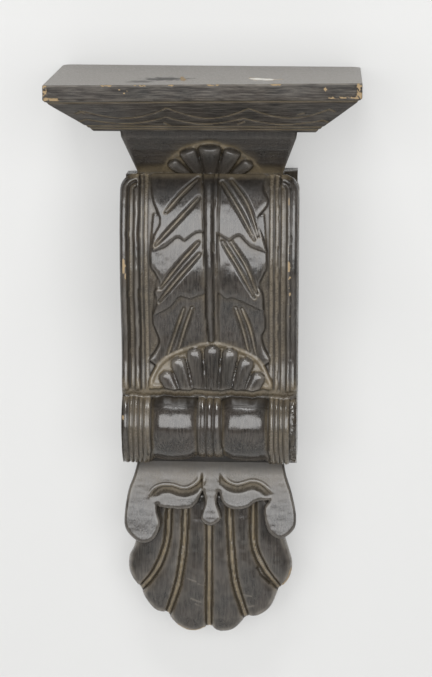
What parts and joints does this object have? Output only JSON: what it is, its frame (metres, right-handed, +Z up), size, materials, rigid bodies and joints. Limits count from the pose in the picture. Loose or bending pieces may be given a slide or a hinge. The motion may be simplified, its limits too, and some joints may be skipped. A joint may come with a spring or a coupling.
{
  "type": "wooden corbel bracket",
  "caption": "Carved wooden wall bracket: a bevelled shelf on a scroll block with a leaf panel, turned roll, apron and shell foot.",
  "frame": {"origin": "on the rear wall face, on the centre line of the carved block", "axes": "+Z up, -Y out from the wall towards the front, +X to the viewer's right"},
  "size_m": [0.33, 0.19, 0.6504],
  "materials": {
    "ebonised_shelf": "ebonised, waxed, worn and chipped along the edges",
    "ebonised_carving": "ebonised, lacquered, with dust in the hollows and worn high spots"
  },
  "bodies": {
    "root": {"shelf": "ebonised_shelf", "carved_corbel": "ebonised_carving"}
  },
  "joints": []
}
